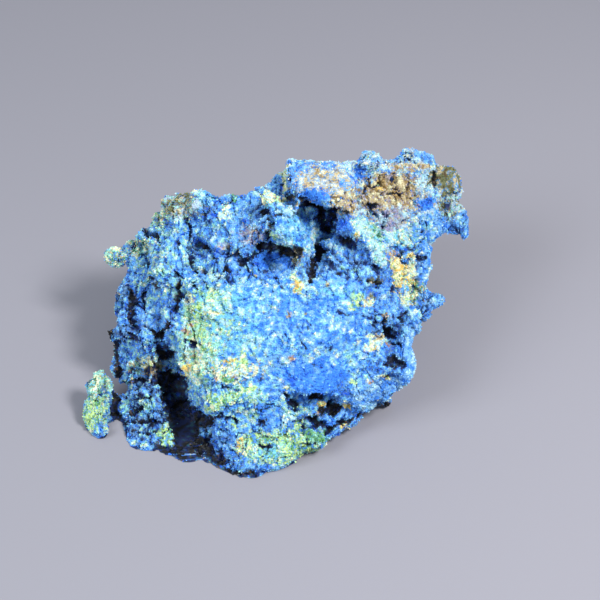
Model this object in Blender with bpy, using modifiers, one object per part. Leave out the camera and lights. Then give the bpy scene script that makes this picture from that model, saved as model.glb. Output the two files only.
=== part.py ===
"""A rough lump of azurite and malachite, about 25 mm across, grown as one piece.

The rock is a leaning block with a broad face, a foot block split off by a deep cleft, a lower mass
at its far right end and a crust of knobs. Sizes are in millimetres until the last step. Places on
the broad face are given in that face's own directions: across it, up it (rise) and out of it.
"""

import math

import bmesh
import bpy
import numpy as np
from mathutils import Matrix, Vector, noise

MM = 0.001

# Directions of the broad face, which leans back from the upright
LEAN = math.radians(42.0)
RISE = Vector((0, math.sin(LEAN), math.cos(LEAN)))
OUT = Vector((0, -math.cos(LEAN), math.sin(LEAN)))

# How finely the rock is worked: spacing of its skin's points, and its triangles once thinned out
VOXEL = 0.24
MOST_TRIANGLES = 9500

# The flat underside: its height, the size of the box that cuts it, and the lowest floor of a pit or cleft
BASE_CUT = 0.1
CUTTER_SIZE = 60.0
LOWEST_CARVED = 0.8

# Corners of the blocks that the rock is built from: across, rise, out
MAIN_BLOCK = [
    (-7.3, 6.2, 9.8),
    (-1.5, 7.8, 11.0),
    (1.1, 8.9, 10.8),
    (4.6, 9.0, 10.0),
    (11.0, 5.2, 7.8),
    (10.8, 1.4, 8.4),
    (9.1, -2.9, 10.2),
    (8.4, -6.2, 10.9),
    (5.6, -7.8, 11.3),
    (3.0, -9.3, 11.8),
    (-1.0, -11.4, 12.0),
    (-2.4, -11.5, 12.0),
    (-4.6, -11.2, 11.6),
    (-6.6, -10.7, 11.0),
    (-9.6, 2.0, 8.2),
    (-9.6, -3.0, 8.8),
    (1.7, -2.2, 13.9),
    (-3.4, -4.8, 13.5),
    (6.0, -1.6, 12.8),
    (-1.4, 3.4, 12.7),
    (-1.6, 5.5, 12.2),
    (-7.2, 3.0, 11.0),
    (-7.4, -0.8, 11.3),
    (5.5, 3.5, 12.0),
    (-7.5, 4.3, 0.9),
    (-4.0, 6.6, 1.0),
    (3.0, 8.6, 1.2),
    (8.5, 9.2, 1.4),
    (9.5, 6.0, -2.0),
    (-6.4, 1.6, -2.6),
    (-8.2, -1.7, 1.2),
    (1.5, 4.7, -6.0),
    (6.2, 3.6, -4.8),
    (9.2, 0.3, -1.1),
    (7.6, -6.5, 6.3),
    (-7.5, -6.4, 6.1),
]
FAR_BLOCK = [
    (3.4, 10.5, 7.4),
    (7.0, 10.9, 5.5),
    (10.4, 10.3, 4.5),
    (11.8, 9.4, 4.2),
    (12.5, 6.0, 4.2),
    (12.1, 4.2, 4.6),
    (9.8, 3.5, 8.0),
    (6.0, 8.4, 9.2),
    (10.5, 7.4, 0.2),
    (6.5, 9.2, 1.0),
    (10.5, 3.6, -1.0),
]
FOOT_BLOCK = [
    (-9.7, -1.5, 7.8),
    (-9.8, -5.0, 8.0),
    (-9.8, -9.8, 9.9),
    (-7.0, -11.0, 11.2),
    (-5.2, -11.4, 11.8),
    (-6.6, -4.4, 11.4),
    (-8.2, -2.0, 10.8),
    (-8.5, -4.6, 4.1),
]
HOOD_BLOCK = [
    (0.7, 9.6, 10.6),
    (5.4, 9.5, 9.8),
    (0.9, 7.7, 12.8),
    (1.5, 6.3, 12.5),
    (3.2, 7.0, 13.9),
    (3.4, 5.8, 13.3),
    (5.3, 7.6, 13.0),
    (5.4, 5.5, 12.7),
    (1.0, 8.6, 7.4),
    (5.2, 9.0, 7.2),
    (1.2, 6.5, 9.5),
    (5.0, 6.0, 9.5),
]

# Knobs that stand out of the blocks: across, rise, out, then their radii in those directions
KNOBS = [
    (-10.5, 3.1, 5.8, 1.1, 1.0, 1.0),
    (-9.0, 3.6, 6.6, 1.0, 0.85, 0.9),
    (-8.3, 4.5, 7.4, 0.9, 0.85, 0.9),
    (-7.3, 5.6, 8.2, 0.9, 0.85, 0.9),
    (-6.0, 6.3, 8.6, 1.5, 1.2, 1.2),
    (-4.3, 6.8, 9.3, 1.2, 1.0, 1.1),
    (-9.0, 1.7, 6.8, 1.0, 1.0, 0.9),
    (-9.6, 0.8, 7.8, 0.8, 0.75, 0.8),
    (-10.2, -0.2, 6.2, 0.7, 1.6, 0.8),
    (-9.7, -1.5, 8.3, 0.9, 1.6, 0.9),
    (-10.6, -1.9, 7.4, 0.75, 0.65, 0.7),
    (-9.3, -3.9, 8.9, 0.55, 0.7, 0.7),
    (-11.1, -5.4, 8.8, 0.75, 1.7, 0.9),
    (-11.5, -6.9, 8.9, 1.05, 1.6, 1.1),
    (-12.1, -5.0, 8.5, 0.6, 1.0, 0.7),
    (-9.9, -3.6, 7.0, 1.05, 1.9, 1.1),
    (-10.4, -6.8, 7.9, 0.9, 1.4, 0.9),
    (-11.0, -8.1, 9.5, 0.75, 0.8, 0.9),
    (10.6, 0.3, 7.2, 0.95, 0.85, 0.9),
    (9.6, -0.6, 8.2, 1.0, 0.9, 0.9),
    (8.5, -3.9, 10.3, 0.85, 1.9, 1.1),
    (6.2, 9.0, 9.0, 1.1, 0.9, 1.0),
    (11.9, 8.1, 4.4, 1.1, 1.5, 1.1),
    (12.5, 5.2, 4.6, 1.1, 1.5, 1.0),
    (0.0, 6.4, 12.1, 0.8, 0.75, 0.9),
    (-0.8, 4.7, 12.2, 0.85, 0.85, 0.7),
    (0.9, 5.4, 12.7, 1.2, 0.65, 1.1),
    (0.9, 4.6, 13.0, 1.4, 0.95, 1.2),
    (1.5, 4.0, 13.2, 1.15, 0.95, 1.1),
    (1.85, 3.3, 13.25, 0.85, 0.85, 0.85),
    (2.2, 1.9, 12.2, 0.38, 1.1, 0.7),
    (4.6, 6.2, 12.9, 0.95, 0.9, 0.9),
]

# Raised ridges on the broad face: two ends as across and rise, half width and height
RIDGES = [
    ((4.9, 4.9), (7.1, 2.5), 0.6, 1.2),
    ((-1.2, -10.0), (2.8, -8.6), 0.7, 0.5),
    ((-4.6, -6.6), (-1.4, -5.4), 0.5, 0.4),
    ((-6.4, 5.2), (-5.6, 2.0), 0.4, 0.5),
    ((-6.9, -1.2), (-4.8, -4.2), 0.5, 0.5),
]

# Pits in the broad face: across, rise, half width, half height, depth
PITS = [
    (2.3, 6.0, 0.9, 0.4, 1.5),
    (3.3, 4.8, 0.6, 0.8, 2.3),
    (0.7, 2.6, 1.4, 0.8, 2.2),
    (2.85, 3.2, 0.42, 1.8, 2.4),
    (4.6, 3.6, 0.9, 1.1, 1.3),
    (-0.4, 3.6, 0.35, 0.3, 0.8),
    (7.6, -2.0, 0.55, 0.8, 1.3),
    (7.8, -4.7, 0.7, 0.5, 1.4),
    (5.9, -6.0, 0.5, 0.35, 0.8),
    (8.1, 6.5, 0.5, 0.35, 1.0),
    (7.2, 6.0, 0.35, 0.35, 1.0),
    (6.2, 5.3, 0.3, 0.7, 1.0),
    (-6.9, -2.6, 0.5, 0.7, 1.0),
    (-8.4, 2.6, 0.4, 1.2, 1.0),
    (-8.5, -4.7, 0.4, 0.55, 1.2),
    (-8.8, -6.9, 0.35, 0.5, 1.0),
    (-7.7, -6.1, 0.5, 0.35, 0.9),
    (-7.8, -8.1, 0.4, 0.4, 0.9),
    (-6.7, -7.6, 0.3, 0.6, 0.9),
    (3.0, -7.5, 2.0, 0.6, 1.0),
]

# Clefts in the broad face: lines of across, rise, half width and depth
CLEFTS = [
    [(-7.3, -1.7, 0.2, 0.8), (-6.8, -3.2, 0.3, 1.8), (-6.1, -5.4, 0.6, 3.0), (-5.3, -7.2, 0.85, 3.2),
     (-4.8, -8.6, 0.8, 2.8), (-4.1, -9.7, 0.6, 2.0)],
    [(-5.1, 5.6, 0.12, 0.9), (-4.8, 3.6, 0.28, 1.8), (-4.2, 2.2, 0.15, 1.0)],
    [(-5.8, 1.6, 0.15, 1.1), (-5.6, -0.4, 0.24, 1.4)],
    [(-7.9, 3.2, 0.15, 1.2), (-8.0, 0.2, 0.3, 1.6), (-7.5, -1.4, 0.2, 1.2)],
    [(-3.6, 3.6, 0.12, 0.8), (-2.0, 2.5, 0.24, 1.5), (-0.8, 1.6, 0.12, 1.0)],
    [(0.6, -5.9, 0.12, 1.0), (2.2, -6.2, 0.34, 2.0), (3.6, -6.2, 0.38, 2.2), (5.0, -7.0, 0.25, 1.4)],
    [(-4.4, -6.0, 0.12, 0.8), (-2.6, -5.3, 0.18, 0.9), (-1.0, -5.0, 0.1, 0.6)],
    [(-8.7, -6.2, 0.15, 0.8), (-8.4, -7.4, 0.25, 1.4), (-8.6, -8.6, 0.15, 0.8)],
    [(-8.3, -0.6, 0.15, 0.8), (-8.0, -2.3, 0.25, 1.2)],
    [(1.2, 0.6, 0.08, 0.4), (3.2, -0.2, 0.14, 0.6), (4.6, -0.9, 0.1, 0.4)],
]

# Size and reach of the raggedness of their edges, and how much wider than their floor they open
RAGGED_SIZE = 0.9
RAGGED_REACH = 0.28
PIT_OPENING = 1.25
CLEFT_OPENING = 1.5
CLEFT_LIP = 0.15

# Picks how the edges wander, so that the same rock is made each time
RAGGED_SEED = 1795635451

# Cosine of the skin's angle to the broad face where carving sets in, and where it is full
CARVED_FACING = (-0.1, 0.3)

# Roughness of the crust: size of its lumps and how far they stand out, about this middle
CRUST = [(3.2, 0.55), (1.3, 0.5), (0.7, 0.22)]
LUMP_STEPS = 2
LUMP_MIDDLE = 0.35

# Angular chips that the crust breaks into: size, step between neighbours, crease between them
CHIPS = [(2.3, 0.5, 0.35), (1.25, 0.3, 0.25)]
CHIP_MIX = 5.3
CREASE_WIDTH = 0.3
CREASE_LEVEL = 0.8

# Share of that roughness on the blocks, and once the knobs have grown on them
FIRST_ROUGHNESS = 0.7
LAST_ROUGHNESS = 0.35

# Areas of the broad face with another share of that roughness: across, rise, half width, half height, share
BROAD_FACE = (1.5, -2.2, 6.5, 4.8, 0.45)
CRUMBLY_FOOT = (-7.6, -6.0, 2.8, 4.0, 1.7)
CRUMBLY_FLANK = (-6.6, 2.0, 1.8, 3.6, 1.35)

# How far out from its middle an area's own share holds in full, and where it has faded out
AREA_RIM = (0.7, 1.2)

# The skin grows calmer from this height down to the underside, where this share of its roughness is left
CALM_BELOW = 1.6
CALMEST = 0.45


def clear_scene():
    for old in list(bpy.data.objects):
        bpy.data.objects.remove(old)


def place(across, rise, out):
    return Vector((across, 0, 0)) + rise * RISE + out * OUT


def new_collection(name):
    made = bpy.data.collections.new(name)
    bpy.context.scene.collection.children.link(made)
    return made


def add_block(mesh, corners):
    """The convex block with these corners."""
    made = [mesh.verts.new(place(*corner)) for corner in corners]
    hull = bmesh.ops.convex_hull(mesh, input=made)
    bmesh.ops.delete(mesh, geom=hull["geom_unused"], context="VERTS")


def add_knob(mesh, across, rise, out, *radii):
    turn = Matrix((Vector((1, 0, 0)), RISE, OUT)).transposed().to_4x4()
    size = Matrix.Diagonal((*radii, 1))
    where = Matrix.Translation(place(across, rise, out))
    bmesh.ops.create_icosphere(mesh, subdivisions=2, radius=1, matrix=where @ turn @ size)


def write_back(mesh, obj):
    bmesh.ops.recalc_face_normals(mesh, faces=mesh.faces)
    mesh.to_mesh(obj.data)
    mesh.free()


def evaluate(obj):
    """Replaces the object's mesh with what its modifiers make of it."""
    graph = bpy.context.evaluated_depsgraph_get()
    made = bpy.data.meshes.new_from_object(obj.evaluated_get(graph))
    obj.modifiers.clear()
    obj.data = made


def fuse(obj, voxel):
    """Makes overlapping lumps one skin."""
    fused = obj.modifiers.new("fuse", "REMESH")
    fused.mode = "VOXEL"
    fused.voxel_size = voxel
    evaluate(obj)


def points_and_normals(obj):
    count = len(obj.data.vertices)
    points = np.empty(count * 3, np.float32)
    normals = np.empty(count * 3, np.float32)
    obj.data.vertices.foreach_get("co", points)
    obj.data.vertices.foreach_get("normal", normals)
    return points.reshape(-1, 3).astype(float), normals.reshape(-1, 3).astype(float)


def set_points(obj, points):
    obj.data.vertices.foreach_set("co", points.astype(np.float32).ravel())
    obj.data.update()


def falloff(distance):
    """1 at the middle of a feature and 0 at its rim, with a rounded shoulder."""
    inside = np.clip(1 - distance, 0, 1)
    return inside * inside * (3 - 2 * inside)


def along(points, start, end):
    """For each point, its share of the way from start to end and its distance from that line."""
    way = np.subtract(end, start)
    share = np.clip((points - start) @ way / (way @ way), 0, 1)
    return share, np.linalg.norm(points - start - share[:, None] * way, axis=1)


def carve(obj):
    """Sinks the pits and clefts into the broad face and raises its ridges."""
    points, normals = points_and_normals(obj)
    ragged = np.array([noise.noise_vector(Vector(p) / RAGGED_SIZE) for p in points])
    seen = np.stack([points[:, 0], points @ np.array(RISE)], axis=1) + RAGGED_REACH * ragged[:, :2]
    depth = np.zeros(len(points))
    for across, rise, wide, high, deep in PITS:
        reach = np.hypot((seen[:, 0] - across) / wide, (seen[:, 1] - rise) / high)
        depth = np.maximum(depth, deep * falloff(reach / PIT_OPENING))
    for line in CLEFTS:
        for start, end in zip(line, line[1:]):
            share, apart = along(seen, start[:2], end[:2])
            width = start[2] + share * (end[2] - start[2])
            deep = start[3] + share * (end[3] - start[3])
            depth = np.maximum(depth, deep * falloff(apart / (CLEFT_OPENING * width + CLEFT_LIP)))
    for start, end, width, height in RIDGES:
        apart = along(seen, start, end)[1]
        depth -= height * falloff(apart / (CLEFT_OPENING * width))
    facing = np.interp(normals @ np.array(OUT), CARVED_FACING, (0, 1))
    carved = points - (depth * facing)[:, None] * np.array(OUT)
    carved[:, 2] = np.maximum(carved[:, 2], np.minimum(points[:, 2], LOWEST_CARVED))
    set_points(obj, carved)


def chip_height(point, size, step, crease):
    """How far the angular chip at this point stands out, less near the chip's edge."""
    distances, middles = noise.voronoi(point / size)
    edge = min((distances[1] - distances[0]) / CREASE_WIDTH, 1)
    return step * (noise.cell(middles[0] * CHIP_MIX) - 0.5) + crease * (edge - CREASE_LEVEL)


def roughen(obj, share):
    """Gives the skin rounded lumps and angular chips, lower or higher ones in some areas."""
    points, normals = points_and_normals(obj)
    height = np.zeros(len(points))
    for i, place_now in enumerate(points):
        point = Vector(place_now)
        for size, stands in CRUST:
            height[i] += stands * (noise.turbulence(point / size, LUMP_STEPS, True) - LUMP_MIDDLE)
        for chip in CHIPS:
            height[i] += chip_height(point, *chip)
    front = np.clip(normals @ np.array(OUT), 0, 1)
    for across, rise, wide, high, changed in (BROAD_FACE, CRUMBLY_FOOT, CRUMBLY_FLANK):
        reach = np.hypot((points[:, 0] - across) / wide, (points @ np.array(RISE) - rise) / high)
        height *= 1 + (changed - 1) * front * np.interp(reach, AREA_RIM, (1, 0))
    height *= np.clip(points[:, 2] / CALM_BELOW, CALMEST, 1)
    set_points(obj, points + (share * height)[:, None] * normals)


def keep_largest(obj):
    """Drops the crumbs that have come loose from the rock."""
    mesh = bmesh.new()
    mesh.from_mesh(obj.data)
    left, bodies = set(mesh.verts), []
    while left:
        body, edge = set(), [left.pop()]
        while edge:
            vert = edge.pop()
            body.add(vert)
            near = {link.other_vert(vert) for link in vert.link_edges} & left
            left -= near
            edge.extend(near)
        bodies.append(body)
    bodies.sort(key=len)
    crumbs = [vert for body in bodies[:-1] for vert in body]
    bmesh.ops.delete(mesh, geom=crumbs, context="VERTS")
    write_back(mesh, obj)


def thin_out(obj, triangles):
    obj.data.calc_loop_triangles()
    thinned = obj.modifiers.new("thin out", "DECIMATE")
    thinned.ratio = triangles / len(obj.data.loop_triangles)
    evaluate(obj)


def cut_base(obj, height):
    """Cuts the underside off flat at this height, where the rock rests."""
    cutter = bpy.data.objects.new("base cutter", bpy.data.meshes.new("base cutter"))
    bpy.context.scene.collection.objects.link(cutter)
    mesh = bmesh.new()
    below = Matrix.Translation((0, 0, height - CUTTER_SIZE / 2))
    bmesh.ops.create_cube(mesh, size=CUTTER_SIZE, matrix=below)
    write_back(mesh, cutter)
    cut = obj.modifiers.new("cut base", "BOOLEAN")
    cut.object = cutter
    evaluate(obj)
    bpy.data.objects.remove(cutter)


def stand_on_origin(obj):
    """Moves the rock so that the middle of its box's underside is the origin, and turns it to metres."""
    points, _ = points_and_normals(obj)
    low, high = points.min(0), points.max(0)
    middle = [(low[0] + high[0]) / 2, (low[1] + high[1]) / 2, low[2]]
    set_points(obj, (points - middle) * MM)


def rock_material():
    made = bpy.data.materials.new("azurite_and_malachite")
    made.use_nodes = True
    shader = made.node_tree.nodes["Principled BSDF"]
    shader.inputs["Base Color"].default_value = (0.11, 0.31, 0.68, 1)
    shader.inputs["Roughness"].default_value = 0.85
    shader.inputs["Metallic"].default_value = 0.0
    return made


def make_rock(collection):
    rock = bpy.data.objects.new("rock", bpy.data.meshes.new("rock"))
    collection.objects.link(rock)
    mesh = bmesh.new()
    for block in (MAIN_BLOCK, FAR_BLOCK, FOOT_BLOCK):
        add_block(mesh, block)
    write_back(mesh, rock)
    fuse(rock, VOXEL)
    roughen(rock, FIRST_ROUGHNESS)
    fuse(rock, VOXEL)
    carve(rock)
    mesh = bmesh.new()
    mesh.from_mesh(rock.data)
    add_block(mesh, HOOD_BLOCK)
    for knob in KNOBS:
        add_knob(mesh, *knob)
    write_back(mesh, rock)
    fuse(rock, VOXEL)
    roughen(rock, LAST_ROUGHNESS)
    fuse(rock, VOXEL)
    keep_largest(rock)
    thin_out(rock, MOST_TRIANGLES)
    cut_base(rock, BASE_CUT)
    keep_largest(rock)
    stand_on_origin(rock)
    rock.data.materials.append(rock_material())
    return rock


def main():
    clear_scene()
    noise.seed_set(RAGGED_SEED)
    make_rock(new_collection("azurite_malachite_rock"))


if __name__ == "__main__":
    main()
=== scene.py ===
import math

import bmesh
import bpy
import numpy as np
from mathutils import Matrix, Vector, noise


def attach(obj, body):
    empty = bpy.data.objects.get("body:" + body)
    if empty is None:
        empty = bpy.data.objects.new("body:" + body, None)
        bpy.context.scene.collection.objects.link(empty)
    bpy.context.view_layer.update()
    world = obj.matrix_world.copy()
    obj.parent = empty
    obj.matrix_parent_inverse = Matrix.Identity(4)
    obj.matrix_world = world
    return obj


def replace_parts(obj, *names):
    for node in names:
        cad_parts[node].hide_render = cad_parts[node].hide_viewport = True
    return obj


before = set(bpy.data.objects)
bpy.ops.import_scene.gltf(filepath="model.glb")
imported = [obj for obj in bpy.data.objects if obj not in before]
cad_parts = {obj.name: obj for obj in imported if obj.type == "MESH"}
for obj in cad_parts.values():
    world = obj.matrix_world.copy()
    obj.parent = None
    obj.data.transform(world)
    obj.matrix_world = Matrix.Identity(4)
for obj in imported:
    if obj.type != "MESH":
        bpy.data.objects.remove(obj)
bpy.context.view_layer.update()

MM = 0.001

# The rock's broad face leans back. Its own directions are across, rise and out, in millimetres
# from the point where they all start, which is given in the part's own frame.
LEAN = math.radians(42)
RISE = np.array((0.0, math.sin(LEAN), math.cos(LEAN)))
OUT = np.array((0.0, -math.cos(LEAN), math.sin(LEAN)))
FACE_AXES = np.stack([(1.0, 0.0, 0.0), RISE, OUT], axis=1)
FACE_START = np.array((-0.403, 4.629, -0.1))

# The camera looks straight at the broad face, at this point of it
LOOKED_AT = np.array((1.75, 0.25, 12.0))
CAMERA_DISTANCE = 104.17
CAMERA_LENS = 100.0
NEAREST_SEEN = 0.001

# Studio: floor, soft lights and pale surroundings. Sizes are in metres, and the lights' places are
# measured from the point looked at.
FLOOR_SIZE = 0.6
FLOOR_DROP = 0.00002
FLOOR_COLOUR = (0.25, 0.246, 0.285)
FLOOR_ROUGHNESS = 0.8
KEY_PLACE = (0.074, -0.042, 0.110)
KEY_SIZE = 0.035
KEY_POWER = 0.25
KEY_COLOUR = (1.0, 0.99, 0.97)
FILL_PLACE = (-0.11, -0.06, 0.10)
FILL_SIZE = 0.09
FILL_POWER = 0.2
FILL_COLOUR = (0.92, 0.97, 1.0)
SKY_COLOUR = (0.88, 0.94, 1.0)
SKY_STRENGTH = 0.48

# Colours of the minerals, and the near-black of painted shadow, from dark to pale, as sRGB numbers
# from 0 to 255
PALETTE = {
    "painted_shadow_black": (12, 16, 22),
    "navy": (16, 44, 104),
    "brown": (92, 70, 46),
    "teal": (48, 104, 124),
    "royal": (30, 96, 216),
    "olive": (116, 120, 80),
    "ochre": (164, 140, 92),
    "slate": (92, 134, 178),
    "azure": (64, 140, 238),
    "leaf": (108, 174, 116),
    "rust": (178, 142, 120),
    "mauve": (162, 160, 194),
    "tan": (196, 182, 144),
    "cyan": (116, 198, 232),
    "sky": (118, 178, 236),
    "gold": (236, 200, 104),
    "lime": (190, 224, 146),
    "mint": (154, 216, 200),
    "cloud": (168, 190, 212),
    "cream": (232, 232, 194),
    "ice": (180, 222, 242),
}
COLOURS = list(PALETTE)

# Which mineral grains grow together, and in what shares. The two darkest mixes are painted shade,
# put in crevices, holes, creases and along the floor.
MIXES = {
    "blue": {
        "azure": 0.28, "sky": 0.35, "royal": 0.05, "cyan": 0.08,
        "ice": 0.03, "slate": 0.13, "mint": 0.05, "cloud": 0.03,
    },
    "pale": {"sky": 0.50, "azure": 0.28, "ice": 0.06, "cyan": 0.08, "mint": 0.05, "cream": 0.03},
    "bright": {"cyan": 0.36, "sky": 0.27, "ice": 0.18, "azure": 0.12, "mint": 0.07},
    "deep": {"azure": 0.80, "royal": 0.12, "sky": 0.08},
    "lobe": {"sky": 0.66, "azure": 0.24, "ice": 0.10},
    # Painted shade: the next two mixes stand for shade, not for the colour of a mineral
    "painted_shade": {"navy": 0.60, "royal": 0.12, "teal": 0.14, "painted_shadow_black": 0.14},
    "dark": {"painted_shadow_black": 0.66, "navy": 0.12, "teal": 0.08, "brown": 0.14},
    "green": {"mint": 0.38, "cyan": 0.18, "ice": 0.14, "lime": 0.12, "sky": 0.10, "cream": 0.08},
    "lime": {"lime": 0.46, "mint": 0.22, "cream": 0.12, "leaf": 0.10, "sky": 0.10},
    "leaf": {"leaf": 0.60, "mint": 0.25, "teal": 0.15},
    "frost": {"ice": 0.36, "mint": 0.28, "cyan": 0.14, "cream": 0.22},
    "cream": {"cream": 0.50, "ice": 0.16, "mint": 0.12, "lime": 0.12, "tan": 0.10},
    "hood": {"cloud": 0.30, "tan": 0.36, "sky": 0.08, "cream": 0.06, "slate": 0.10, "ochre": 0.10},
    "crust": {"tan": 0.56, "cream": 0.12, "ochre": 0.22, "mauve": 0.10},
    "gold": {"gold": 0.36, "cream": 0.32, "tan": 0.10, "lime": 0.12, "mint": 0.10},
    "mauve": {"mauve": 0.36, "cloud": 0.30, "ice": 0.10, "tan": 0.18, "slate": 0.06},
    "olive": {"olive": 0.50, "slate": 0.20, "tan": 0.20, "brown": 0.10},
    "slate": {"slate": 0.34, "azure": 0.24, "sky": 0.16, "navy": 0.14, "mint": 0.12},
    "cloud": {"cloud": 0.42, "ice": 0.18, "sky": 0.18, "mint": 0.10, "cream": 0.12},
    "moss": {"mint": 0.34, "tan": 0.22, "leaf": 0.16, "slate": 0.16, "cream": 0.12},
    "lichen": {"olive": 0.22, "tan": 0.20, "slate": 0.20, "mint": 0.20, "cloud": 0.18},
    "rust": {"rust": 0.50, "tan": 0.30, "cloud": 0.20},
}

# Where they grow on the side that the camera faces: mix, across, rise, half width, half height, share.
# Across and rise are as seen from the camera, and later patches grow over earlier ones.
BROAD_FACE_PATCHES = [
    ("cloud", 8.2, 6.6, 3.4, 3.0, 0.6),
    ("green", -6.6, 3.0, 2.6, 3.6, 0.3),
    ("green", -7.6, -5.6, 2.2, 3.4, 0.4),
    ("pale", 1.2, -1.6, 5.6, 4.6, 0.94),
    ("bright", -2.2, -1.0, 1.9, 2.6, 0.76),
    ("bright", 3.9, 0.7, 1.5, 0.7, 0.68),
    ("bright", 0.6, -2.6, 1.4, 0.8, 0.6),
    ("deep", 2.7, -4.6, 2.0, 1.4, 1.0),
    ("deep", 4.3, -4.2, 0.5, 0.5, 0.94),
    ("deep", 1.3, -4.6, 0.7, 0.35, 0.82),
    ("lobe", 6.2, -5.7, 1.7, 1.0, 0.8),
    ("blue", -3.0, -4.1, 1.8, 1.2, 0.88),
    ("gold", 1.6, 1.1, 0.35, 0.35, 1.0),
    ("cream", 1.4, 1.7, 0.3, 0.25, 0.94),
    ("crust", 3.4, 1.1, 0.3, 0.18, 0.88),
    ("crust", 0.2, -0.3, 0.25, 0.2, 0.76),
    ("cream", 1.9, -0.7, 0.3, 0.2, 0.82),
    ("crust", 1.1, -0.6, 0.3, 0.2, 0.68),
    ("lime", 5.2, 0.5, 0.35, 0.35, 0.82),
    ("lime", 5.2, -0.1, 0.45, 0.3, 0.82),
    ("cream", 6.0, 0.0, 0.45, 0.5, 0.82),
    ("olive", 6.4, 0.35, 0.25, 0.3, 0.76),
    ("green", 4.8, -3.2, 0.35, 0.35, 0.76),
    ("rust", 1.2, -3.4, 0.3, 0.14, 0.76),
    ("cream", 0.85, -5.3, 0.22, 0.35, 0.82),
    ("gold", -1.0, 1.75, 0.15, 0.12, 0.94),
]
RIGHT_EDGE_PATCHES = [
    ("slate", 7.0, -1.5, 1.2, 1.1, 0.72),
    ("cream", 6.4, -2.3, 0.9, 0.5, 0.56),
    ("crust", 7.15, -0.8, 0.28, 0.18, 0.88),
    ("rust", 7.2, -2.5, 0.28, 0.15, 0.82),
    ("crust", 6.7, -2.1, 0.3, 0.2, 0.82),
    ("gold", 6.4, -2.8, 0.35, 0.15, 0.82),
    ("gold", 7.0, -4.55, 0.3, 0.25, 0.94),
    ("rust", 6.1, -4.8, 0.25, 0.2, 0.82),
    ("lime", 5.05, -4.9, 0.3, 0.2, 0.88),
    ("lobe", 8.7, -3.6, 0.9, 2.3, 1.0),
    ("lobe", 7.6, -5.2, 1.0, 0.7, 0.88),
    ("lobe", 9.3, 0.2, 0.9, 0.7, 0.88),
    ("cream", 9.2, -0.4, 0.3, 0.2, 0.82),
]
LOWER_EDGE_PATCHES = [
    ("green", 1.5, -6.6, 1.1, 0.4, 0.82),
    ("pale", 0.2, -7.2, 0.9, 0.8, 0.76),
    ("gold", 3.1, -6.25, 0.4, 0.2, 0.94),
    ("rust", 2.9, -6.85, 0.25, 0.15, 0.82),
    ("gold", 4.6, -6.35, 0.25, 0.2, 0.82),
    ("gold", 4.5, -7.55, 0.4, 0.25, 0.82),
    ("lime", 1.8, -7.6, 0.45, 0.5, 0.94),
    ("deep", 3.6, -7.4, 0.5, 0.3, 0.82),
    ("lime", 0.6, -8.9, 2.8, 1.2, 0.94),
    ("green", -0.3, -9.2, 1.1, 0.8, 0.76),
    ("leaf", 2.7, -8.3, 0.9, 0.5, 0.88),
    ("deep", -0.7, -6.6, 0.5, 0.5, 0.94),
    ("cream", -1.8, -6.7, 0.3, 0.35, 0.88),
    ("lime", -2.4, -7.5, 0.35, 0.25, 0.88),
    ("blue", -3.3, -8.0, 0.7, 0.8, 0.88),
    ("gold", -2.0, -8.8, 0.35, 0.5, 0.91),
]
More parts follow.
